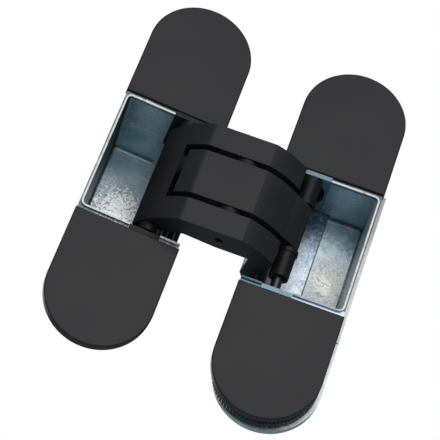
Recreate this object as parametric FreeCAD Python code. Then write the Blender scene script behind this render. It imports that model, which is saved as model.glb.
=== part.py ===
import FreeCAD, Part
import math
import os

# Concealed two-arm door hinge. Millimetres and degrees.
# World frame: +X from the frame body to the door body, +Y into the timber, +Z up the door edge.
# The origin is the centre of the frame body's face, in the plane of the door frame's surface.
# Each body is drawn in a plan of its own: x runs towards the other body, y is the depth below
# its face and z runs along it. The door body is the frame body's plan turned end for end.

# Faces and attitude
face_width = 30.0
face_length = 110.0
face_gap = 19.2
fold_shown = 7.7
closed_gap = 5.0
height_set = 1.9

# Linkage, in the plan of either body
pivot_inset = 11.3
pivot_depth = 13.0
slide_inset = 5.8
slide_depth = 2.2
centre_height = 5.0

# Pins and their fits
pivot_pin_radius = 1.8
centre_pin_radius = 2.0
slide_pin_radius = 1.5
bush_wall = 0.6
running_gap = 0.05
seat_gap = 0.02
track_gap = 0.12
body_gap = 0.3

# Arms
outer_half_width = 15.6
window_half_width = 8.6
inner_half_width = 6.9
pivot_eye_radius = 3.2
slide_boss_radius = 2.6
centre_boss_radius = 4.2
ridge_forward = 5.4
ridge_rise = 5.2
shoulder_back = 12.0
shoulder_rise = 2.7
bar_bulge = 1.4
bar_back = (4.6, 2.4)
bar_heel = (3.0, 4.6)
nose_forward = 15.9
nose_drop = 0.4
nose_bulge = 0.8
shoulder_bulge = 1.0
underside_drop = 4.7
shank_clear = 1.3
shoulder_fillet = 2.5
window_end_gap = 1.4
peep_hole_radius = 1.15
peep_hole_depth = 1.3

# Slide sleeves, rings and washers
sleeve_radius = 2.8
ring_radius = 3.1
ring_width = 1.2
ring_start = 7.3
inner_sleeve_past = 0.5
sleeve_wall_gap = 0.15
washer_radius = 4.0

# Housings
metal_inset = 0.3
rim_drop = 0.15
side_wall = 0.9
lip_width = 0.5
lip_height = 0.7
pocket_side_room = 2.5
frame_pocket_draft = 1.2
door_pocket_draft = 0.4
pocket_corner = 1.2
floor_fillet = 1.0
floor_thickness = 1.5
frame_pocket_below = 12.4
door_pocket_below = 1.9
door_ledge_height = 1.2
side_rib_out = 1.3
side_rib_start = -22.5
door_ledge_inset = -2.4
end_web = 2.4
box_corner = 2.0
side_notch_above = 1.6
rest_rib_width = 1.4
rest_rib_thickness = 1.0

# Plastic tracks in the end walls
track_recess_step = 0.1
track_thickness = 4.2
track_left = 0.2
track_right = 8.8
track_skin = 1.8
track_top = 0.45
track_fit = 0.1
track_corner = 1.5

# Cover caps
cap_set_back = 1.5
cap_height = 2.9
cap_plate = 1.2
cap_wall = 1.1
cap_edge_fillet = 0.4
cap_clear = 0.1
peg_radius = 1.5
peg_reach = 5.0
peg_gap = 0.1
inner_peg_offset = (10.5, 3.0)
outer_peg_offset = (8.5, 7.9)

# Clamped ends: the housing's tongue lies on a block that is screwed to the timber
tongue_thickness = 3.2
tongue_gap = 0.2
wall_lap = 0.5
frame_tongue_radius = 13.2
door_tongue_radius = 14.6
door_tongue_reach = 0.7
door_tongue_side = 0.4
tooth_count = 44
tooth_depth = 0.35
frame_block_radius = 12.0
door_block_radius = 14.8
door_block_reach = 0.9
door_lower_block_side = 1.2
block_thickness = 2.4
boss_radius = 10.8
boss_thickness = 2.5
block_gap = 0.3
clamp_offset = 1.5
screw_pitch = 8.6
screw_hole_radius = 2.6
countersink_radius = 4.0
countersink_depth = 1.5
access_radius = 4.1
clamp_head_radius = 3.7
clamp_head_height = 2.6
clamp_thread_radius = 2.45
clamp_slot = 1.0
clamp_bore_depth = 1.4
clamp_socket = 3.0
adjuster_inset = -9.0
adjuster_offset = 3.5
adjuster_radius = 3.0
adjuster_throw = 0.8
adjuster_pin_radius = 1.1
adjuster_pin_reach = 2.0
adjuster_socket = 2.5
socket_depth = 1.2

UP = FreeCAD.Vector(0, 0, 1)
CROSS = FreeCAD.Vector(0, 1, 0)
half_width = face_width / 2
half_length = face_length / 2
open_span = face_width + face_gap
pocket_half_length = outer_half_width + pocket_side_room
cap_cut = pocket_half_length + cap_set_back
track_face = pocket_half_length + track_recess_step
track_back = track_face + track_thickness
box_half_length = track_back + end_web
clamp_station = (box_half_length + half_length) / 2 - clamp_offset
adjuster_station = clamp_station - adjuster_offset
peg_stations = ((inner_peg_offset[0], box_half_length + inner_peg_offset[1]),
                (outer_peg_offset[0], half_length - outer_peg_offset[1]))
tongue_top = cap_height + tongue_gap
block_top = tongue_top + tongue_thickness
block_bottom = block_top + block_thickness
block_back = block_bottom + boss_thickness
through = block_back + 10
inner_sleeve_end = outer_half_width + inner_sleeve_past
outer_sleeve_end = pocket_half_length - body_gap
shown_share = fold_shown / 180.0
os.makedirs("parts", exist_ok=True)


def at(x, y, z=0.0):
    return FreeCAD.Vector(x, y, z)


# Linkage geometry. Closing swings everything clockwise about +Z, and is counted positive.
def turned(place, centre, degrees):
    swing = FreeCAD.Rotation(UP, -degrees)
    return centre + swing.multVec(place - centre)


def close_by(shape, centre, degrees):
    swung = shape.copy()
    swung.rotate(centre, UP, -degrees)
    return swung


def bearing(place, centre):
    """Angle of a point about a centre, growing as the hinge closes."""
    return math.degrees(math.atan2(centre.y - place.y, place.x - centre.x))


pivot = at(pivot_inset, pivot_depth)
centre_open = at(open_span / 2, -centre_height)
slide_open = at(slide_inset, slide_depth)
arm_reach = (centre_open - pivot).Length
closed_rise = pivot_depth + closed_gap / 2
centre_closed = at(pivot_inset - math.sqrt(arm_reach ** 2 - closed_rise ** 2), -closed_gap / 2)
arm_turn = bearing(centre_closed, pivot) - bearing(centre_open, pivot)
cross_turn = 180.0 - 2 * arm_turn


def centre_at(share):
    """Centre pin in a body's plan, from open (0) to closed (1)."""
    return turned(centre_open, pivot, arm_turn * share)


def slide_at(share):
    """Slide pin of the arm that crosses over, in the plan of the body whose tracks it rides."""
    carried = turned(slide_open, pivot, arm_turn * share)
    return turned(carried, centre_at(share), cross_turn * share)


track_bottom = slide_at(1).y + slide_pin_radius + track_gap + track_skin
frame_pocket_depth = track_bottom + frame_pocket_below
door_pocket_depth = track_bottom + door_pocket_below
side_notch_depth = track_bottom - side_notch_above
centre_rest = centre_at(shown_share)
frame_slide_rest = slide_at(shown_share)
door_pivot_open = at(open_span - pivot_inset, pivot_depth)
door_pivot_rest = turned(turned(door_pivot_open, pivot, arm_turn * shown_share),
                         centre_rest, cross_turn * shown_share)


def to_door(shape):
    """From the body plan to the door body's place as the hinge is shown."""
    placed = shape.copy()
    placed.rotate(at(0, 0), CROSS, 180)
    placed.translate(at(open_span, 0, -height_set))
    placed = close_by(placed, pivot, arm_turn * shown_share)
    placed = close_by(placed, centre_rest, cross_turn * shown_share)
    return close_by(placed, door_pivot_rest, arm_turn * shown_share)


door_slide_rest = to_door(Part.Vertex(slide_at(shown_share))).Point
door_slide_rest = at(door_slide_rest.x, door_slide_rest.y)


# Drawing helpers
def export(shape, name):
    shape.exportStep("parts/" + name + ".step")


def rod(place, low, high, radius):
    """Round bar parallel to the hinge's axis."""
    return Part.makeCylinder(radius, high - low, at(place.x, place.y, low), UP)


def sleeve(place, low, high, outer, inner):
    return rod(place, low, high, outer).cut(rod(place, low - 1, high + 1, inner))


def peg(x, z, top, bottom, radius):
    """Round bar that runs straight into the depth."""
    return Part.makeCylinder(radius, bottom - top, at(x, top, z), CROSS)


def block(x0, x1, y0, y1, z0, z1):
    return Part.makeBox(x1 - x0, y1 - y0, z1 - z0, at(x0, y0, z0))


def slab(edges, low, high):
    """Upright prism on a closed side profile."""
    profile = [edge.translated(at(0, 0, low)) for edge in edges]
    return Part.Face(Part.Wire(profile)).extrude(at(0, 0, high - low))


def line(first, second):
    return Part.makeLine(first, second)


def arc(first, middle, last):
    return Part.Arc(first, middle, last).toShape()


def bowed(first, last, rise):
    """Arc between two points that bulges outwards, away from the timber."""
    run = last - first
    outward = at(run.y, -run.x).normalize()
    return arc(first, (first + last) / 2 + outward * rise, last)


def mirrored_ends(shape):
    """The same shape at the upper and the lower end."""
    return shape, shape.mirror(at(0, 0), UP)


def end_plate(start, radius, top, bottom, reach_out=0.0, side_out=0.0):
    """Plate with a straight inner end and a half-round outer end."""
    corner = half_length - half_width + reach_out
    reach = corner + radius
    outline = Part.Wire([
        line(at(-radius, top, start), at(radius, top, start)),
        line(at(radius, top, start), at(radius, top, corner)),
        arc(at(radius, top, corner), at(0, top, reach), at(-radius, top, corner)),
        line(at(-radius, top, corner), at(-radius, top, start)),
    ])
    outline.translate(at(-side_out, 0, 0))
    return Part.Face(outline).extrude(at(0, bottom - top, 0))


def toothed_plate(start, radius, top, bottom, reach_out, side_out):
    """End plate whose half-round edge carries fine upright teeth."""
    corner = half_length - half_width + reach_out
    points = [at(-radius, top, start), at(radius, top, start)]
    for step in range(2 * tooth_count + 1):
        angle = math.pi * step / (2 * tooth_count)
        tip = radius - tooth_depth * (step % 2)
        points.append(at(tip * math.cos(angle), top, corner + tip * math.sin(angle)))
    points.append(points[0])
    outline = Part.makePolygon(points)
    outline.translate(at(-side_out, 0, 0))
    return Part.Face(outline).extrude(at(0, bottom - top, 0))


def hex_socket(x, z, top, across, depth):
    corners = []
    for step in range(7):
        angle = math.radians(60 * step)
        corners.append(at(x + across / math.sqrt(3) * math.cos(angle), top,
                          z + across / math.sqrt(3) * math.sin(angle)))
    return Part.Face(Part.makePolygon(corners)).extrude(at(0, depth, 0))


def edges_where(shape, test):
    return [edge for edge in shape.Edges if test(edge)]


# Die-cast housings: a deep pocket with solid end walls and a clamping tongue at either end
def runs_along_depth(edge):
    first, last = edge.Vertexes[0].Point, edge.Vertexes[-1].Point
    return abs(first.x - last.x) < 0.01 and abs(first.z - last.z) < 0.01


def track_recess():
    cavity = block(track_left - track_fit, track_right + track_fit, -1, track_bottom + track_fit,
                   pocket_half_length - 1, track_back + track_fit)
    lower = edges_where(cavity, lambda e: e.BoundBox.YMin > track_bottom and e.BoundBox.ZLength > 1)
    return cavity.makeFillet(track_corner + track_fit, lower)


def tongue(radius, toothed):
    plate_of = toothed_plate if toothed else end_plate
    plate = plate_of(box_half_length - wall_lap, radius, tongue_top, block_top,
                     door_tongue_reach if toothed else 0.0, door_tongue_side if toothed else 0.0)
    for station in (clamp_station - screw_pitch, clamp_station + screw_pitch):
        plate = plate.cut(peg(0, station, 0, through, access_radius))
    clamp_clear = clamp_thread_radius + body_gap
    slot = peg(-clamp_slot, clamp_station, 0, through, clamp_clear)
    slot = slot.fuse(peg(clamp_slot, clamp_station, 0, through, clamp_clear))
    slot = slot.fuse(block(-clamp_slot, clamp_slot, 0, through,
                           clamp_station - clamp_clear, clamp_station + clamp_clear))
    plate = plate.cut(slot)
    plate = plate.cut(peg(0, clamp_station, 0, tongue_top + clamp_bore_depth,
                          clamp_head_radius + body_gap))
    plate = plate.cut(peg(adjuster_inset, adjuster_station, 0, through, adjuster_radius + running_gap))
    for x, z in peg_stations:
        for side in (-x, x):
            plate = plate.cut(peg(side, z, 0, through, peg_radius + peg_gap))
    return plate


def housing(pocket_depth, draft, tongue_radius, toothed, ledge):
    half = half_width - metal_inset
    body = block(-half, half, rim_drop, pocket_depth + floor_thickness,
                 -box_half_length, box_half_length)
    body = body.makeFillet(box_corner, edges_where(body, runs_along_depth))
    back = edges_where(body, lambda e: e.BoundBox.YMin > pocket_depth)
    body = body.makeFillet(floor_fillet, back)

    inner = half - side_wall
    foot = inner - draft
    pocket = slab([
        line(at(-inner, -1), at(inner, -1)),
        line(at(inner, -1), at(inner, pocket_depth)),
        line(at(inner, pocket_depth), at(-foot, pocket_depth)),
        line(at(-foot, pocket_depth), at(-inner, 0)),
        line(at(-inner, 0), at(-inner, -1)),
    ], -pocket_half_length, pocket_half_length)
    upright = edges_where(pocket, lambda e: e.BoundBox.ZLength < 0.01 and e.BoundBox.YMin > -0.9
                          and e.BoundBox.YLength > 1)
    pocket = pocket.makeFillet(pocket_corner, upright)
    low_edges = edges_where(pocket, lambda e: e.BoundBox.YMin > pocket_depth - 0.01)
    pocket = pocket.makeFillet(floor_fillet, low_edges)
    body = body.cut(pocket)
    body = body.cut(block(inner - 2, half + 1, -1, side_notch_depth,
                          -pocket_half_length, pocket_half_length))

    # A thin lip stands round the pocket, above a lower rim that runs to the caps
    lip = block(-inner - lip_width, half + 2, -2, rim_drop + lip_height + 1,
                -pocket_half_length - lip_width, pocket_half_length + lip_width)
    lip = lip.makeFillet(pocket_corner + lip_width,
                         edges_where(lip, lambda e: e.BoundBox.XMax < 0 and e.BoundBox.YLength > 1))
    outside = block(-half - 1, half + 1, -1, rim_drop + lip_height, -box_half_length, box_half_length)
    body = body.cut(outside.cut(lip))
    if ledge > 0:
        step = block(door_ledge_inset, inner + 0.1, pocket_depth - ledge, pocket_depth + 0.5,
                     -pocket_half_length - 0.1, pocket_half_length + 0.1)
        body = body.fuse(step)
        side_rib = block(-half - side_rib_out, -half + 0.1, block_top, block_bottom,
                         side_rib_start, box_half_length)
        body = body.fuse(side_rib)

    # Under the caps the end walls stand lower and narrower
    for sign in (-1, 1):
        far = sign * (box_half_length + 1)
        near = sign * (cap_cut - cap_clear)
        low, high = min(far, near), max(far, near)
        body = body.cut(block(-half - 1, half + 1, -1, cap_plate + cap_clear, low, high))
        for side in (-1, 1):
            skirt = side * (half_width - cap_wall - cap_clear)
            edge = side * (half + 1)
            body = body.cut(block(min(skirt, edge), max(skirt, edge), -1,
                                  cap_height + cap_clear, low, high))

    recess = track_recess()
    pin_hole = rod(pivot, pocket_half_length - 1, box_half_length - 1.4,
                   pivot_pin_radius + seat_gap)
    rib = block(track_left, track_left + rest_rib_width, track_bottom + 1, pocket_depth + 0.5,
                pocket_half_length - rest_rib_thickness, pocket_half_length + 0.5)
    wing = tongue(tongue_radius, toothed)
    for cavity in mirrored_ends(recess.fuse(pin_hole)):
        body = body.cut(cavity)
    for addition in mirrored_ends(rib):
        body = body.fuse(addition)
    for addition in mirrored_ends(wing):
        body = body.fuse(addition)
    return body.removeSplitter()


# Moulded tracks: the slot follows the slide pin's true path
def slot_edges(radius, low):
    shares = [step / 8 for step in range(9)]
    left, right = [], []
    for share in shares:
        ahead = slide_at(share + 0.01) - slide_at(share - 0.01)
        across = at(-ahead.y, ahead.x).normalize() * radius
        middle = slide_at(share) + at(0, 0, low)
        left.append(middle + across)
        right.append(middle - across)
    first_run = (slide_at(0.01) - slide_at(-0.01)).normalize() * radius
    last_run = (slide_at(1.01) - slide_at(0.99)).normalize() * radius
    side_left = Part.BSplineCurve()
    side_left.interpolate(left)
    side_right = Part.BSplineCurve()
    side_right.interpolate(right[::-1])
    end_cap = arc(left[-1], slide_at(1) + at(0, 0, low) + last_run, right[-1])
    start_cap = arc(right[0], slide_at(0) + at(0, 0, low) - first_run, left[0])
    return [side_left.toShape(), end_cap, side_right.toShape(), start_cap]


def track():
    body = block(track_left, track_right, track_top, track_bottom, track_face, track_back)
    lower = edges_where(body, lambda e: e.BoundBox.YMin > track_bottom - 0.1
                        and e.BoundBox.ZLength > 1)
    body = body.makeFillet(track_corner, lower)
    body = body.cut(block(track_left - 1, track_right + 1, 0, cap_plate + cap_clear,
                          cap_cut - cap_clear, track_back + 1))
    outline = Part.Wire(slot_edges(slide_pin_radius + track_gap, track_face - 1))
    slot = Part.Face(outline).extrude(at(0, 0, track_back - track_face + 2))
    return body.cut(slot)


# Cover caps: thin shells that press onto the tongues with four pegs
def cap():
    shell = end_plate(cap_cut, half_width, 0, cap_height)
    top_edges = edges_where(shell, lambda e: e.BoundBox.YMax < 0.01)
    shell = shell.makeFillet(cap_edge_fillet, top_edges)
    hollow = end_plate(cap_cut - 1, half_width - cap_wall, cap_plate, cap_height + 1)
    shell = shell.cut(hollow)
    for x, z in peg_stations:
        for side in (-x, x):
            shell = shell.fuse(peg(side, z, cap_plate - 0.2, peg_reach, peg_radius))
    return shell.removeSplitter()


# Mounting blocks, clamp screws and eccentric adjusters
def mounting_block(radius, reach_out=0.0, side_out=0.0):
    body = end_plate(box_half_length + block_gap, radius, block_top, block_bottom, reach_out, side_out)
    boss = end_plate(box_half_length + block_gap, boss_radius, block_bottom - 0.1,
                     block_back)
    body = body.fuse(boss)
    for station in (clamp_station - screw_pitch, clamp_station + screw_pitch):
        body = body.cut(peg(0, station, 0, through, screw_hole_radius))
        body = body.cut(Part.makeCone(countersink_radius, screw_hole_radius, countersink_depth,
                                      at(0, block_top, station), CROSS))
    body = body.cut(peg(0, clamp_station, 0, through, clamp_thread_radius + running_gap))
    slot_half = adjuster_pin_radius + running_gap
    slot = block(adjuster_inset - slot_half, adjuster_inset + slot_half, 0,
                 block_top + adjuster_pin_reach + body_gap,
                 adjuster_station - 2.2, adjuster_station + 2.2)
    return body.cut(slot).removeSplitter()


def clamp_screw():
    seat = tongue_top + clamp_bore_depth - running_gap
    head = peg(0, clamp_station, seat - clamp_head_height, seat, clamp_head_radius)
    rim = edges_where(head, lambda e: e.BoundBox.YMax < seat - clamp_head_height + 0.01)
    head = head.makeChamfer(0.4, rim)
    shank = peg(0, clamp_station, seat - 0.2, block_back - body_gap,
                clamp_thread_radius)
    socket = hex_socket(0, clamp_station, seat - clamp_head_height - 0.1, clamp_socket,
                        socket_depth + 0.1)
    return head.fuse(shank).cut(socket).removeSplitter()


def adjuster():
    disc = peg(adjuster_inset, adjuster_station, tongue_top + cap_clear, block_top - running_gap,
               adjuster_radius)
    stud = peg(adjuster_inset, adjuster_station + adjuster_throw, block_top - 0.5,
               block_top + adjuster_pin_reach, adjuster_pin_radius)
    socket = hex_socket(adjuster_inset, adjuster_station, tongue_top, adjuster_socket,
                        socket_depth + cap_clear)
    return disc.fuse(stud).cut(socket).removeSplitter()


def pair(shape):
    return Part.makeCompound(list(mirrored_ends(shape)))


# Arms. Both share one arched outline, so that they lie flush when the hinge is open.
ridge = centre_rest + at(ridge_forward, -ridge_rise)
shoulder = centre_rest + at(-shoulder_back, -shoulder_rise)
nose = centre_rest + at(nose_forward, nose_drop)
underside = centre_rest.y + underside_drop
swing_gap = slide_boss_radius + body_gap
frame_shank = half_width + shank_clear


def swing_clearance(start, degrees, radius, low, high):
    """Room that a boss needs as it swings about the centre pin."""
    end = turned(start, centre_rest, degrees)
    middle = turned(start, centre_rest, degrees / 2)
    reach = (start - centre_rest).Length
    def on_ray(place, distance):
        return centre_rest + (place - centre_rest) * (distance / reach)
    sector = slab([
        line(on_ray(start, reach - radius), on_ray(start, reach + radius)),
        arc(on_ray(start, reach + radius), on_ray(middle, reach + radius),
            on_ray(end, reach + radius)),
        line(on_ray(end, reach + radius), on_ray(end, reach - radius)),
        arc(on_ray(end, reach - radius), on_ray(middle, reach - radius),
            on_ray(start, reach - radius)),
    ], low, high)
    return sector.fuse([rod(start, low, high, radius), rod(end, low, high, radius)])


def bore(place, half_height, radius):
    return rod(place, -half_height - 1, half_height + 1, radius)


# Outer arm: a full-width bar that rides in the frame tracks, and two limbs round a window
def outer_profile(low, high):
    boss = frame_slide_rest
    eye = door_pivot_rest
    back = at(boss.x - bar_back[0], boss.y + bar_back[1])
    tail = at(boss.x - bar_heel[0], boss.y + bar_heel[1])
    heel = at(open_span - frame_shank, centre_rest.y + underside_drop - 1.2)
    knee = at(heel.x, eye.y - 1.4 * pivot_eye_radius)
    toe = at(eye.x - pivot_eye_radius, eye.y)
    crown = at(eye.x, eye.y - pivot_eye_radius)
    throat = at(boss.x + slide_boss_radius + 1.0, boss.y - 0.4)
    brow = at(frame_shank - 2.0, underside)
    body = slab([
        bowed(back, shoulder, bar_bulge),
        line(shoulder, ridge),
        bowed(ridge, nose, nose_bulge),
        line(nose, crown),
        line(crown, eye),
        line(eye, toe),
        line(toe, knee),
        line(knee, heel),
        line(heel, at(centre_rest.x, underside)),
        line(at(centre_rest.x, underside), brow),
        line(brow, throat),
        line(throat, boss),
        line(boss, tail),
        line(tail, back),
    ], low, high)
    for place, radius in ((boss, slide_boss_radius), (eye, pivot_eye_radius),
                          (centre_rest, centre_boss_radius)):
        body = body.fuse(rod(place, low, high, radius))
    return body.removeSplitter()


def outer_arm():
    full = outer_half_width
    body = outer_profile(-full, full)
    creases = edges_where(body, lambda e: e.BoundBox.ZLength > full and
                          (e.BoundBox.Center - at(shoulder.x, shoulder.y)).Length < 0.1)
    body = body.makeFillet(shoulder_fillet, creases)
    window_radius = (frame_slide_rest - centre_rest).Length - slide_boss_radius
    window = rod(centre_rest, -window_half_width, window_half_width, window_radius)
    behind = block(centre_rest.x, open_span, -40, 40, -window_half_width, window_half_width)
    body = body.cut(window.fuse(behind))
    swing = cross_turn * (1 + 2 * shown_share)
    start = turned(door_slide_rest, centre_rest, cross_turn * shown_share)
    for room in mirrored_ends(swing_clearance(start, -swing, sleeve_radius + body_gap,
                                              window_half_width - 1, full + 1)):
        body = body.cut(room)
    body = body.cut(bore(door_pivot_rest, full, pivot_pin_radius + bush_wall + running_gap))
    body = body.cut(bore(frame_slide_rest, full, slide_pin_radius + seat_gap))
    body = body.cut(rod(centre_rest, peep_hole_depth - full, full + 1,
                        centre_pin_radius + seat_gap))
    return body.cut(rod(centre_rest, -full - 1, 0, peep_hole_radius))


# Inner arm: one thick plate that fills the window and hooks down to the frame pivot
def inner_arm():
    half = inner_half_width
    boss = door_slide_rest
    right = at(boss.x + slide_boss_radius, boss.y)
    heel = at(frame_shank, underside - 1.2)
    knee = at(heel.x, pivot.y - 1.4 * pivot_eye_radius)
    toe = at(pivot.x + pivot_eye_radius, pivot.y)
    crown = at(pivot.x, pivot.y - pivot_eye_radius)
    left = at(frame_slide_rest.x - slide_boss_radius, frame_slide_rest.y)
    throat = at(boss.x - slide_boss_radius - 1.0, boss.y - 0.4)
    brow = at(open_span - frame_shank + 2.0, underside)
    body = slab([
        bowed(left, shoulder, shoulder_bulge),
        line(shoulder, ridge),
        bowed(ridge, nose, nose_bulge),
        bowed(nose, right, nose_bulge),
        line(right, boss),
        line(boss, throat),
        line(throat, brow),
        line(brow, at(centre_rest.x, underside)),
        line(at(centre_rest.x, underside), heel),
        line(heel, knee),
        line(knee, toe),
        line(toe, pivot),
        line(pivot, crown),
        line(crown, left),
    ], -half, half)
    for place, radius in ((boss, slide_boss_radius), (pivot, pivot_eye_radius),
                          (centre_rest, centre_boss_radius)):
        body = body.fuse(rod(place, -half, half, radius))
    body = body.removeSplitter()
    creases = edges_where(body, lambda e: e.BoundBox.ZLength > half and
                          (e.BoundBox.Center - at(shoulder.x, shoulder.y)).Length < 0.1)
    body = body.makeFillet(shoulder_fillet, creases)
    flank = (frame_slide_rest - centre_rest).Length - slide_boss_radius - window_end_gap
    keep = rod(centre_rest, -half - 1, half + 1, flank)
    keep = keep.fuse(block(centre_rest.x, open_span, -40, 40, -half - 1, half + 1))
    keep = keep.fuse(block(0, centre_rest.x, frame_slide_rest.y + 4, 40, -half - 1, half + 1))
    body = body.common(keep)
    swing = cross_turn * (1 + 2 * shown_share)
    start = turned(frame_slide_rest, centre_rest, -cross_turn * shown_share)
    body = body.cut(swing_clearance(start, swing, swing_gap, -half - 1, half + 1))
    body = body.cut(bore(pivot, half, pivot_pin_radius + bush_wall + running_gap))
    body = body.cut(bore(boss, half, slide_pin_radius + seat_gap))
    return body.cut(bore(centre_rest, half, centre_pin_radius + bush_wall + running_gap))


# Frame body
frame_body = housing(frame_pocket_depth, frame_pocket_draft, frame_tongue_radius, False, 0)
export(frame_body, "frame_housing")
door_body = housing(door_pocket_depth, door_pocket_draft, door_tongue_radius, True, door_ledge_height)
export(to_door(door_body), "door_housing")

for end, shape in zip(("upper", "lower"), mirrored_ends(cap())):
    export(shape, "frame_cap_" + end)
for end, shape in zip(("lower", "upper"), mirrored_ends(cap())):
    export(to_door(shape), "door_cap_" + end)
for end, shape in zip(("upper", "lower"), mirrored_ends(track())):
    export(shape, "frame_track_" + end)
for end, shape in zip(("lower", "upper"), mirrored_ends(track())):
    export(to_door(shape), "door_track_" + end)
for end, shape in zip(("upper", "lower"), mirrored_ends(mounting_block(frame_block_radius))):
    export(shape, "frame_block_" + end)
door_lower_block = mounting_block(door_block_radius, door_block_reach, door_lower_block_side)
export(to_door(door_lower_block), "door_block_lower")
door_upper_block = mirrored_ends(mounting_block(door_block_radius, door_block_reach))[1]
export(to_door(door_upper_block), "door_block_upper")

export(pair(clamp_screw()), "frame_clamp_screws")
export(to_door(pair(clamp_screw())), "door_clamp_screws")
export(pair(adjuster()), "frame_adjusters")
export(to_door(pair(adjuster())), "door_adjusters")

# Pivot pins, pressed into blind holes in the end walls
pivot_pin_end = box_half_length - 1.6
pivot_pin = rod(pivot, -pivot_pin_end, pivot_pin_end, pivot_pin_radius)
export(pivot_pin, "frame_pivot_pin")
export(to_door(pivot_pin), "door_pivot_pin")

# Arms and what rides on them
export(outer_arm(), "outer_arm")
export(inner_arm(), "inner_arm")

pin_top = outer_half_width - 0.6
centre_pin = rod(centre_rest, peep_hole_depth - outer_half_width + running_gap, pin_top,
                 centre_pin_radius)
export(centre_pin, "centre_pin")
export(sleeve(centre_rest, -inner_half_width, inner_half_width,
              centre_pin_radius + bush_wall, centre_pin_radius + running_gap), "centre_bush")
export(pair(sleeve(centre_rest, inner_half_width, window_half_width - running_gap,
                   washer_radius, centre_pin_radius + running_gap)), "centre_washers")
export(sleeve(pivot, -inner_half_width, inner_half_width,
              pivot_pin_radius + bush_wall, pivot_pin_radius + running_gap), "inner_arm_bush")
export(pair(sleeve(door_pivot_rest, window_half_width, outer_half_width,
                   pivot_pin_radius + bush_wall, pivot_pin_radius + running_gap)),
       "outer_arm_bushes")

slide_pin_end = cap_cut - sleeve_wall_gap
export(rod(frame_slide_rest, -slide_pin_end, slide_pin_end, slide_pin_radius),
       "outer_arm_slide_pin")
export(pair(sleeve(frame_slide_rest, outer_half_width + sleeve_wall_gap, outer_sleeve_end,
                   sleeve_radius, slide_pin_radius + seat_gap)), "outer_arm_sleeves")
export(rod(door_slide_rest, -slide_pin_end - height_set, slide_pin_end - height_set,
           slide_pin_radius), "inner_arm_slide_pin")
export(pair(sleeve(door_slide_rest, ring_start, ring_start + ring_width,
                   ring_radius, slide_pin_radius + seat_gap)), "inner_arm_rings")
export(pair(sleeve(door_slide_rest, ring_start + ring_width + running_gap, inner_sleeve_end,
                   sleeve_radius, slide_pin_radius + seat_gap)), "inner_arm_sleeves")
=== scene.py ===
# Concealed door hinge, lying almost flat open and seen from the room side, a little from below.
import math
import bpy
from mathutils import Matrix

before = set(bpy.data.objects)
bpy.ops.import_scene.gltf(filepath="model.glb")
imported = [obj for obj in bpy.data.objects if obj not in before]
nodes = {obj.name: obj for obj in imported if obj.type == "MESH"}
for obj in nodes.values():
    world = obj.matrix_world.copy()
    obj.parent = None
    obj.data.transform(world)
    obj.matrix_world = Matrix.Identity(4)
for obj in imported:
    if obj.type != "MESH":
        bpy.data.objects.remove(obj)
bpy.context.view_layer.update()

# Housings: two bare zinc die castings, each a deep pocket between solid end walls, let into the timber.
# The metal is left as cast: cool grey, faintly crystalline, with scuffs; its bright rims are a painted highlight.
frame_floor = 0.0310
door_floor = 0.0205
housing_edge = 0.0002


def wire(tree, node, inputs):
    """Give a node's inputs, each as a value or as another node's socket."""
    for key, value in inputs.items():
        if isinstance(value, bpy.types.NodeSocket):
            tree.links.new(value, node.inputs[key])
        else:
            node.inputs[key].default_value = value


def add(tree, kind, inputs, **settings):
    """A node with its settings made and its inputs given."""
    node = tree.nodes.new(kind)
    for key, value in settings.items():
        setattr(node, key, value)
    wire(tree, node, inputs)
    return node


def new_material(name):
    """A material with one Principled shader, its node tree and that shader."""
    material = bpy.data.materials.new(name)
    material.use_nodes = True
    tree = material.node_tree
    tree.nodes.clear()
    shader = tree.nodes.new("ShaderNodeBsdfPrincipled")
    add(tree, "ShaderNodeOutputMaterial", {"Surface": shader.outputs[0]})
    return material, tree, shader


def new_group(name, outputs, inputs=()):
    """A node group with (label, kind) sockets, as its tree and its output node."""
    tree = bpy.data.node_groups.new(name, "ShaderNodeTree")
    for way, sockets in (("OUTPUT", outputs), ("INPUT", inputs)):
        for label, kind in sockets:
            tree.interface.new_socket(label, in_out=way, socket_type="NodeSocket" + kind)
    return tree, tree.nodes.new("NodeGroupOutput")


def object_place(tree):
    return tree.nodes.new("ShaderNodeTexCoord").outputs["Object"]


def facing(tree):
    return parted(tree, tree.nodes.new("ShaderNodeNewGeometry").outputs["Normal"])


def parted(tree, vector):
    """A vector's X, Y and Z sockets."""
    return add(tree, "ShaderNodeSeparateXYZ", {0: vector}).outputs


def reckon(tree, operation, *values, **settings):
    """One sum on numbers or sockets."""
    return add(tree, "ShaderNodeMath", dict(enumerate(values)), operation=operation, **settings).outputs[0]


def overlap(tree, mask, *others):
    """Where all the masks meet."""
    for other in others:
        mask = reckon(tree, "MULTIPLY", mask, other)
    return mask


def between(tree, value, start, end, at_start=0.0, at_end=1.0):
    """Run from at_start to at_end while the value goes from start to end."""
    return add(tree, "ShaderNodeMapRange", {"Value": value, "From Min": start, "From Max": end,
                                            "To Min": at_start, "To Max": at_end}).outputs["Result"]


def blend(tree, factor, under, over, kind="MIX", **settings):
    """One colour over another."""
    return add(tree, "ShaderNodeMix", {"Factor": factor, "A": under, "B": over}, data_type="RGBA",
               blend_type=kind, **settings).outputs["Result"]


def noise(tree, place, scale, detail, roughness=0.5, distortion=0.0):
    return add(tree, "ShaderNodeTexNoise", {"Vector": place, "Scale": scale, "Detail": detail,
                                            "Roughness": roughness, "Distortion": distortion}).outputs["Fac"]


def ramp(tree, factor, *stops):
    """Colour ramp through (place, value or colour) stops."""
    node = add(tree, "ShaderNodeValToRGB", {"Fac": factor})
    elements = node.color_ramp.elements
    while len(elements) < len(stops):
        elements.new(0.5)
    for element, (place, colour) in zip(elements, stops):
        element.position = place
        shade = colour if isinstance(colour, tuple) else (colour, colour, colour)
        element.color = shade + (1.0,)
    return node.outputs["Color"]


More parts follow.
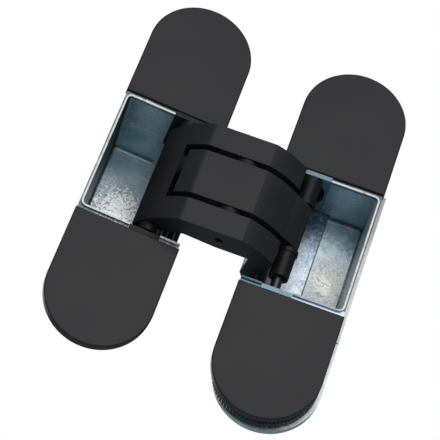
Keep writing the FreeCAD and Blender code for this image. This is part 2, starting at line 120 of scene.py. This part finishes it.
def dress(material, *names):
    for name in names:
        nodes[name].material_slots[0].material = material


def ease_edges(width, *names):
    """Real castings and stampings have no knife edges."""
    for name in names:
        bevel = nodes[name].modifiers.new("eased_edges", "BEVEL")
        bevel.width = width
        bevel.segments = 2
        bevel.limit_method = "ANGLE"
        bevel.angle_limit = math.radians(32)
        bevel.harden_normals = True
        bevel.use_clamp_overlap = True


cast, cast_out = new_group(
    "cast_finish_and_painted_light",
    [("Color", "Color"), ("Roughness", "Float"), ("Metallic", "Float"), ("Height", "Float")],
    [("Place", "Vector"), ("Rub Centre", "Vector"), ("Rub Reach", "Float"), ("Rub Colour", "Color")])
given = cast.nodes.new("NodeGroupInput").outputs
place = given["Place"]
blotch = noise(cast, place, 150.0, 7.0, 0.62)
grime = noise(cast, place, 45.0, 4.0, 0.55)
flakes = add(cast, "ShaderNodeTexVoronoi", {"Vector": place, "Scale": 900.0}, feature="F1")
tone = ramp(cast, blotch, (0.32, (0.25, 0.34, 0.38)), (0.68, (0.40, 0.49, 0.53)))
fleck = ramp(cast, flakes.outputs["Color"], (0.0, (0.28, 0.37, 0.41)), (1.0, (0.48, 0.56, 0.59)))
grained = blend(cast, 0.3, tone, fleck)
soiled = ramp(cast, grime, (0.40, 0.66), (0.58, 1.0))
stained = blend(cast, 1.0, grained, soiled, "MULTIPLY")

# End walls face up or down: painted light makes them lighter and bluer than the floors
walls = ramp(cast, reckon(cast, "ABSOLUTE", facing(cast)["Z"]), (0.6, 0.0), (0.9, 1.0))
end_walls_lit = blend(cast, walls, stained, (1.55, 1.72, 1.80, 1.0), "MULTIPLY")

# The low rim that runs to the caps is painted dark as painted shade, and the lip round the pocket is painted
# bright as a painted highlight, broken by nicks
depth = parted(cast, place)["Y"]
rim_shaded = blend(cast, 1.0, end_walls_lit, between(cast, depth, 0.0012, 0.0016, 0.30, 1.0), "MULTIPLY")
lip = between(cast, depth, 0.00035, 0.00060, 1.0, 0.0)
nicks = ramp(cast, noise(cast, place, 700.0, 3.0), (0.34, 0.25), (0.50, 1.0))
painted_lip_highlight = blend(cast, 1.0, lip, nicks, "MULTIPLY")

# Rubbed patch on the floor, broken up by the casting's own grain
spot = add(cast, "ShaderNodeVectorMath", {0: place, 1: given["Rub Centre"]}, operation="DISTANCE")
share = reckon(cast, "DIVIDE", spot.outputs["Value"], given["Rub Reach"])
nearness = between(cast, share, 0.2, 1.0, 0.11, -0.10)
rubs = noise(cast, place, 620.0, 8.0, 0.72, 2.4)
rub_marks = ramp(cast, reckon(cast, "ADD", rubs, nearness), (0.535, 0.0), (0.562, 1.0))
past_floor = reckon(cast, "SUBTRACT", depth, parted(cast, given["Rub Centre"])["Y"])
inside = between(cast, past_floor, 0.0003, 0.0006, 1.0, 0.0)
rub_mask = overlap(cast, rub_marks, inside)
# Round the patch the colour is darkened, to half at its middle
ground = between(cast, share, 0.3, 1.1, 0.50, 1.0)
darkened_round_rubs = blend(cast, inside, rim_shaded, ground, "MULTIPLY")


# Fine scratches that run in two directions, and only here and there
def scratches(turn, scale):
    lay = add(cast, "ShaderNodeMapping", {"Vector": place, "Rotation": (0.0, turn, 0.0), "Scale": scale})
    lines = noise(cast, lay.outputs[0], 1.0, 3.0, distortion=1.2)
    return ramp(cast, lines, (0.56, 0.0), (0.66, 1.0))


across = scratches(0.6, (300.0, 900.0, 2600.0))
along = scratches(-0.4, (2800.0, 900.0, 320.0))
both = blend(cast, 1.0, across, along, "ADD")
patchy = ramp(cast, noise(cast, place, 95.0, 3.0), (0.44, 0.0), (0.62, 0.46))
more_on_walls = reckon(cast, "MULTIPLY_ADD", patchy, walls, patchy)
scored = blend(cast, 1.0, both, more_on_walls, "MULTIPLY")
bared = blend(cast, 1.0, scored, rub_mask, "LIGHTEN")
bright = blend(cast, 1.0, bared, painted_lip_highlight, "LIGHTEN")
scuffed = blend(cast, bared, darkened_round_rubs, given["Rub Colour"])
smooth = between(cast, blotch, 0.3, 0.7, 0.32, 0.46)
wire(cast, cast_out, {
    # The lip takes a pale painted-highlight colour and less metal
    "Color": blend(cast, painted_lip_highlight, scuffed, (0.90, 0.90, 0.88, 1.0)),
    "Roughness": reckon(cast, "MULTIPLY_ADD", bright, 0.12, smooth),
    "Metallic": reckon(cast, "MULTIPLY_ADD", painted_lip_highlight, -0.65, 0.80),
    "Height": reckon(cast, "MULTIPLY_ADD", bared, -0.6, blotch)})


def cast_marks(tree, place, rub_centre, rub_reach, rub_colour):
    """The casting's finish on one housing, with its own rubbed patch, painted lip highlight and painted rim
    shade.
    """
    return add(tree, "ShaderNodeGroup", {"Place": place, "Rub Centre": rub_centre, "Rub Reach": rub_reach,
                                         "Rub Colour": rub_colour}, node_tree=cast).outputs


def plug(tree, shader, marks, colour, metal):
    """Colour, roughness, metal and bump of the casting into one shader."""
    bump = add(tree, "ShaderNodeBump", {"Height": marks["Height"], "Strength": 0.14, "Distance": 0.0003})
    wire(tree, shader, {"Base Color": colour, "Roughness": marks["Roughness"], "Metallic": metal,
                        "Normal": bump.outputs["Normal"]})


def painted_foot_shade(tree, at, colour, floor, least):
    """Painted shade: a dull line along the foot of the upper end wall, in the corner where it meets the floor."""
    from_wall = reckon(tree, "ABSOLUTE", reckon(tree, "SUBTRACT", at["Z"], 0.0178))
    from_floor = reckon(tree, "ABSOLUTE", reckon(tree, "SUBTRACT", at["Y"], floor - 0.0003))
    corner = between(tree, reckon(tree, "MAXIMUM", from_wall, from_floor), 0.0004, 0.0007, 1.0, 0.0)
    return blend(tree, 1.0, colour, between(tree, corner, 0.0, 1.0, 1.0, least), "MULTIPLY")


def painted_end_shade(tree, at, colour):
    """Painted shade: the clamping tongues under the caps are painted dark, for the caps' shadow."""
    from_middle = reckon(tree, "ABSOLUTE", at["Z"])
    return blend(tree, 1.0, colour, between(tree, from_middle, 0.0252, 0.0262, 1.0, 0.10), "MULTIPLY")


zinc, tree, shader = new_material("cast_zinc")
place = object_place(tree)
at = parted(tree, place)
marks = cast_marks(tree, place, (-0.0045, frame_floor, -0.0010), 0.0118, (1.0, 1.0, 0.97, 1.0))
# The left wall of this deep pocket lies in its own shade, painted in as a dark colour
leftmost = between(tree, at["X"], -0.0124, -0.0120, 1.0, 0.0)
left_wall = ramp(tree, facing(tree)["X"], (0.55, 0.0), (0.85, 1.0))
left_wall_shaded = blend(tree, overlap(tree, left_wall, leftmost), marks["Color"], (0.26, 0.32, 0.36, 1.0), "MULTIPLY")
# Below, the foot of that wall carries a painted highlight, a bright line
off_foot = reckon(tree, "ABSOLUTE", reckon(tree, "ADD", at["X"], 0.0129))
thin = between(tree, off_foot, 0.00018, 0.00034, 1.0, 0.0)
lower = between(tree, at["Z"], 0.006, 0.014, 0.9, 0.15)
off_floor = reckon(tree, "ABSOLUTE", reckon(tree, "SUBTRACT", at["Y"], 0.0302))
painted_foot_highlight = overlap(tree, thin, lower, between(tree, off_floor, 0.0010, 0.0014, 1.0, 0.0))
foot_highlighted = blend(tree, painted_foot_highlight, left_wall_shaded, (0.92, 0.88, 0.82, 1.0))
# Behind the arm the end walls are painted dark, a painted shade
behind = between(tree, at["X"], 0.0010, 0.0035)
sunk = between(tree, at["Y"], 0.0030, 0.0060)
from_middle = reckon(tree, "ABSOLUTE", at["Z"])
short_of_ends = between(tree, from_middle, 0.0186, 0.0189, 1.0, 0.0)
short_of_back = between(tree, at["Y"], 0.0313, 0.0316, 1.0, 0.0)
short_of_side = between(tree, at["X"], 0.0143, 0.0146, 1.0, 0.0)
behind_arm_shade = overlap(tree, behind, sunk, short_of_ends, short_of_back, short_of_side)
shaded_behind_arm = blend(tree, behind_arm_shade, foot_highlighted, (0.12, 0.13, 0.14, 1.0), "MULTIPLY")
# The floor is paler than the walls
on_floor = overlap(tree, between(tree, at["Y"], 0.0307, 0.0309), short_of_back)
paler = blend(tree, on_floor, shaded_behind_arm, (1.34, 1.37, 1.36, 1.0), "MULTIPLY", clamp_result=True)
foot_shaded = painted_foot_shade(tree, at, paler, frame_floor, 0.65)
metal = reckon(tree, "MULTIPLY_ADD", painted_foot_highlight, -0.7, marks["Metallic"], use_clamp=True)
plug(tree, shader, marks, painted_end_shade(tree, at, foot_shaded), metal)
dress(zinc, "frame_housing")
ease_edges(housing_edge, "frame_housing", "door_housing")

# Door housing: the same casting turned round, so its marks are laid out in its own plan.
# Its pocket is shallower, with a raised ledge on the floor.
door_zinc, tree, shader = new_material("cast_zinc_door")
door_middle = (0.047494, -0.003196, -0.0019)
door_inward = (-0.99099, 0.13398, 0.0)
door_deeper = (0.13398, 0.99099, 0.0)
moved = add(tree, "ShaderNodeVectorMath", {0: object_place(tree), 1: door_middle},
            operation="SUBTRACT").outputs[0]
own_x, own_y = [add(tree, "ShaderNodeVectorMath", {0: moved, 1: way}, operation="DOT_PRODUCT").outputs["Value"]
                for way in (door_inward, door_deeper)]
own_z = parted(tree, moved)["Z"]
at = {"X": own_x, "Y": own_y, "Z": own_z}
place = add(tree, "ShaderNodeCombineXYZ", at).outputs[0]
marks = cast_marks(tree, place, (-0.0090, door_floor, -0.0020), 0.0140, (0.37, 0.38, 0.365, 1.0))
short_of_ends = between(tree, reckon(tree, "ABSOLUTE", own_z), 0.0186, 0.0188, 1.0, 0.0)
short_of_back = between(tree, own_y, 0.0208, 0.0211, 1.0, 0.0)
pocket = overlap(tree, short_of_ends, short_of_back)
deep = overlap(tree, between(tree, own_y, 0.0185, 0.0189), pocket)
paler = blend(tree, deep, marks["Color"], (1.80, 1.75, 1.70, 1.0), "MULTIPLY")
# The raised ledge is painted pale and speckled as a painted sheen, darker towards the top as painted shade, and a
# dark line of painted shade lies along its foot
ledge = overlap(tree, between(tree, own_x, -0.0025, -0.0023), deep)
speckle = noise(tree, place, 850.0, 5.0, 0.7)
speckle_darker_upward = reckon(tree, "ADD", speckle, between(tree, own_z, -0.002, 0.013, 0.16, -0.30))
ledge_light_and_shade = ramp(tree, speckle_darker_upward, (0.12, (0.11, 0.18, 0.24)), (0.72, (0.52, 0.58, 0.64)))
lit_ledge = blend(tree, ledge, paler, ledge_light_and_shade)
off_foot = reckon(tree, "ABSOLUTE", reckon(tree, "ADD", own_x, 0.0026))
ledge_foot_shaded = blend(tree, deep, lit_ledge, between(tree, off_foot, 0.00012, 0.00030, 0.25, 1.0), "MULTIPLY")
# The outer side of the body is a more neutral grey
outside = between(tree, own_x, -0.01492, -0.0147, 1.0, 0.0)
sided = blend(tree, outside, ledge_foot_shaded, (1.3, 1.02, 0.90, 1.0), "MULTIPLY")
# The floor is painted duller and bluer towards the top as painted shade, up to where the rubbing starts
upper_floor_shade = ramp(tree, speckle_darker_upward, (0.20, (0.52, 0.58, 0.63)), (0.38, (1.0, 1.0, 1.0)))
floor_shaded_above = blend(tree, deep, sided, upper_floor_shade, "MULTIPLY")
# The rim at the lower cap is a strip with a painted reflection, pale blue at one side and dark at the other, and
# the outer wall of the pocket is painted pale as painted light, with less metal
below = between(tree, own_z, -0.0181, -0.0178, 1.0, 0.0)
strip = overlap(tree, below, between(tree, own_y, 0.0022, 0.0026, 1.0, 0.0))
painted_strip_reflection = ramp(tree, between(tree, own_x, -0.006, 0.006), (0.0, (0.50, 0.56, 0.63)), (1.0, (0.12, 0.19, 0.25)))
strip_reflected = blend(tree, strip, floor_shaded_above, painted_strip_reflection)
near_wall = between(tree, own_x, -0.01335, -0.01315, 1.0, 0.0)
short_of_side = between(tree, own_x, -0.0146, -0.0144)
under_lip = between(tree, own_y, 0.0009, 0.0016)
painted_wall_light = overlap(tree, near_wall, short_of_side, pocket, under_lip)
pale = blend(tree, painted_wall_light, strip_reflected, (0.80, 0.86, 0.86, 1.0))
foot_shaded = painted_foot_shade(tree, at, pale, door_floor, 0.22)
metal = reckon(tree, "MULTIPLY_ADD", painted_wall_light, -0.6, marks["Metallic"], use_clamp=True)
plug(tree, shader, marks, painted_end_shade(tree, at, foot_shaded), metal)
dress(door_zinc, "door_housing")


# Mounting blocks, and the inserts that guide the door body's sleeves: the same zinc, less handled.
# The blocks are screwed to the timber and are paler; the inserts sit in the end walls' shade, which is painted in
# as a darker, bluer tint.
def plain_zinc(name, tint):
    """Zinc without lip, rim or rubs: its pattern is read 50 mm below the face."""
    material, tree, shader = new_material(name)
    sunk = add(tree, "ShaderNodeVectorMath", {0: object_place(tree), 1: (0.0, 0.05, 0.0)}, operation="ADD")
    marks = cast_marks(tree, sunk.outputs[0], (0.0, -1.0, 0.0), 0.01, (0.8, 0.8, 0.8, 1.0))
    plug(tree, shader, marks, blend(tree, 1.0, marks["Color"], tint, "MULTIPLY"), marks["Metallic"])
    return material


blocks = ("frame_block_upper", "frame_block_lower", "door_block_upper", "door_block_lower")
dress(plain_zinc("block_zinc", (1.5, 1.30, 1.20, 1.0)), *blocks)
dress(plain_zinc("track_zinc", (0.42, 0.50, 0.58, 1.0)), "door_track_upper", "door_track_lower")
ease_edges(housing_edge, *blocks)

# Cover caps: thin black shells with a fine matte coat, pressed over the ends of both bodies.
# Their edges are softly rounded and the coat is slightly pebbled.
coat, coat_out = new_group("matte_coat", [("Color", "Color"), ("Roughness", "Float"), ("Height", "Float")])
place = object_place(coat)
cloud = noise(coat, place, 60.0, 3.0)
wire(coat, coat_out, {
    "Color": ramp(coat, cloud, (0.35, (0.0178, 0.0158, 0.0164)), (0.65, (0.0234, 0.0210, 0.0217))),
    "Roughness": between(coat, cloud, 0.3, 0.7, 0.44, 0.52),
    "Height": noise(coat, place, 2600.0, 2.0)})


def finished_in(group, name, bump_strength, bump_height, fixed, tint=None):
    """A material with a group's colour, roughness and bump; the rest of its shader is fixed."""
    material, tree, shader = new_material(name)
    finish = add(tree, "ShaderNodeGroup", {}, node_tree=group).outputs
    colour = blend(tree, 1.0, finish["Color"], tint, "MULTIPLY") if tint else finish["Color"]
    bump = add(tree, "ShaderNodeBump", {"Height": finish["Height"], "Strength": bump_strength,
                                        "Distance": bump_height})
    wire(tree, shader, {"Base Color": colour, "Roughness": finish["Roughness"],
                        "Normal": bump.outputs["Normal"], **fixed})
    return material


cap_black = finished_in(coat, "cap_black", 0.25, 0.00008, {"Specular IOR Level": 0.3})
dress(cap_black, "frame_cap_upper", "frame_cap_lower", "door_cap_upper", "door_cap_lower")

# Arms: thick steel plates that cross on the centre pin, cut to shape and then coated black.
# The coat is smoother than on the caps, and the edges are eased under it.
arm_black = finished_in(coat, "arm_black", 0.2, 0.00006, {"Specular IOR Level": 0.3})
dress(arm_black, "outer_arm", "inner_arm")
ease_edges(0.0003, "outer_arm", "inner_arm")

# Tracks, sleeves, rings, bushes and washers: black moulded acetal, smooth with a low sheen.
# The tracks are let into the frame body's end walls; the rest is pushed on the pins.
moulded = finished_in(coat, "moulded_black", 0.1, 0.00005, {"Roughness": 0.42, "Specular IOR Level": 0.2},
                      (0.6, 0.6, 0.62, 1.0))
dress(moulded, "frame_track_upper", "frame_track_lower", "outer_arm_sleeves", "inner_arm_sleeves",
      "inner_arm_rings", "centre_bush", "centre_washers", "inner_arm_bush", "outer_arm_bushes")

# Clamp screws and adjusters: bright turned steel, with fine rings left by the lathe.
# They sit in the tongues under the caps and show only from the back.
turned, turned_out = new_group("turned_steel", [("Color", "Color"), ("Roughness", "Float"), ("Height", "Float")])
place = object_place(turned)
rings = add(turned, "ShaderNodeTexWave", {"Vector": place, "Scale": 900.0, "Distortion": 2.0, "Detail": 2.0},
            bands_direction="Z")
oil = noise(turned, place, 260.0, 4.0)
wire(turned, turned_out, {
    "Color": ramp(turned, oil, (0.3, (0.42, 0.42, 0.43)), (0.7, (0.60, 0.60, 0.61))),
    "Roughness": between(turned, oil, 0.0, 1.0, 0.22, 0.42),
    "Height": rings.outputs["Fac"]})
steel = finished_in(turned, "turned_steel", 0.1, 0.00005, {"Metallic": 1.0})
dress(steel, "frame_clamp_screws", "door_clamp_screws", "frame_adjusters", "door_adjusters")

# Pivots, centre pin and slide pins: the same turned steel, blackened against rust.
# Each is a plain pin through the arms, held by the housings or by the sleeves on its ends.
dark_steel = finished_in(turned, "blackened_steel", 0.1, 0.00005, {"Metallic": 0.8}, (0.09, 0.09, 0.1, 1.0))
dress(dark_steel, "frame_pivot_pin", "door_pivot_pin", "centre_pin", "outer_arm_slide_pin",
      "inner_arm_slide_pin")

# Floor: a plain pale sheet well below the hinge, in an even white room.
# The camera looks through the sheet, so the hinge is also seen from below.
sheet_size = 1.5
sheet_drop = -0.45
bpy.ops.object.select_all(action="DESELECT")
bpy.ops.mesh.primitive_plane_add(size=sheet_size, location=(0.0, 0.0, 0.0))
sheet = bpy.context.object
sheet.name = "floor"
bpy.ops.object.mode_set(mode="EDIT")
bpy.ops.mesh.select_all(action="SELECT")
bpy.ops.transform.translate(value=(0.0, 0.0, sheet_drop))
bpy.ops.object.mode_set(mode="OBJECT")
paper, tree, shader = new_material("paper")
fibre = noise(tree, object_place(tree), 30.0, 3.0)
wire(tree, shader, {"Base Color": ramp(tree, fibre, (0.3, 0.62), (0.7, 0.68)), "Roughness": 0.9})
clear = tree.nodes.new("ShaderNodeBsdfTransparent")
path = tree.nodes.new("ShaderNodeLightPath")
mixer = add(tree, "ShaderNodeMixShader", {"Fac": path.outputs["Is Camera Ray"], 1: shader.outputs[0],
                                          2: clear.outputs[0]})
wire(tree, tree.nodes["Material Output"], {"Surface": mixer.outputs[0]})
sheet.data.materials.append(paper)

# Room: white where the camera sees it, and a dim, slightly blue light on the hinge.
# The blue is what the bare zinc mirrors in the pockets.
world = bpy.data.worlds.new("room")
bpy.context.scene.world = world
world.use_nodes = True
tree = world.node_tree
tree.nodes.clear()
path = tree.nodes.new("ShaderNodeLightPath")
seen = add(tree, "ShaderNodeBackground", {"Color": (1.0, 1.0, 1.0, 1.0), "Strength": 1.0})
lit = add(tree, "ShaderNodeBackground", {"Color": (0.66, 0.86, 1.0, 1.0), "Strength": 0.22})
mixer = add(tree, "ShaderNodeMixShader", {"Fac": path.outputs["Is Camera Ray"], 1: lit.outputs[0],
                                          2: seen.outputs[0]})
add(tree, "ShaderNodeOutputWorld", {"Surface": mixer.outputs[0]})


# Lamps: one broad soft box above the camera, a weaker one in front, and one behind for the backs.
# A last one on the left lights the side of the bodies that the others miss.
def soft_box(name, place, aim, size, power):
    lamp = bpy.data.lights.new(name, "AREA")
    lamp.shape = "RECTANGLE"
    lamp.size, lamp.size_y = size
    lamp.energy = power
    holder = bpy.data.objects.new(name, lamp)
    bpy.context.scene.collection.objects.link(holder)
    holder.location = place
    run = [a - b for a, b in zip(aim, place)]
    flat = math.hypot(run[0], run[1])
    holder.rotation_euler = (math.atan2(flat, -run[2]), 0.0, math.atan2(-run[0], run[1]))


middle = (0.024, 0.0, 0.0)
soft_box("key", (0.0, -1.05, 0.47), middle, (1.1, 0.6), 5.5)
soft_box("front", (0.0, -1.15, -0.05), middle, (0.4, 0.4), 1.2)
soft_box("back", (-0.40, 1.00, 0.35), middle, (0.9, 0.6), 3.5)
soft_box("left", (-0.85, -0.62, 0.10), middle, (0.5, 0.7), 0.6)

# Camera: a long lens, below the hinge's middle and rolled, as in the photograph.
# Its place and turn were solved from the outlines of the two faces.
lens = bpy.data.cameras.new("view")
lens.lens = 126.168
lens.sensor_width = 36.0
lens.clip_start = 0.01
camera = bpy.data.objects.new("view", lens)
bpy.context.scene.collection.objects.link(camera)
camera.location = (-0.007512, -0.372148, -0.197878)
camera.rotation_euler = (2.0721140, -0.3246969, -0.2530793)
bpy.context.scene.camera = camera
bpy.context.scene.view_settings.view_transform = "Standard"
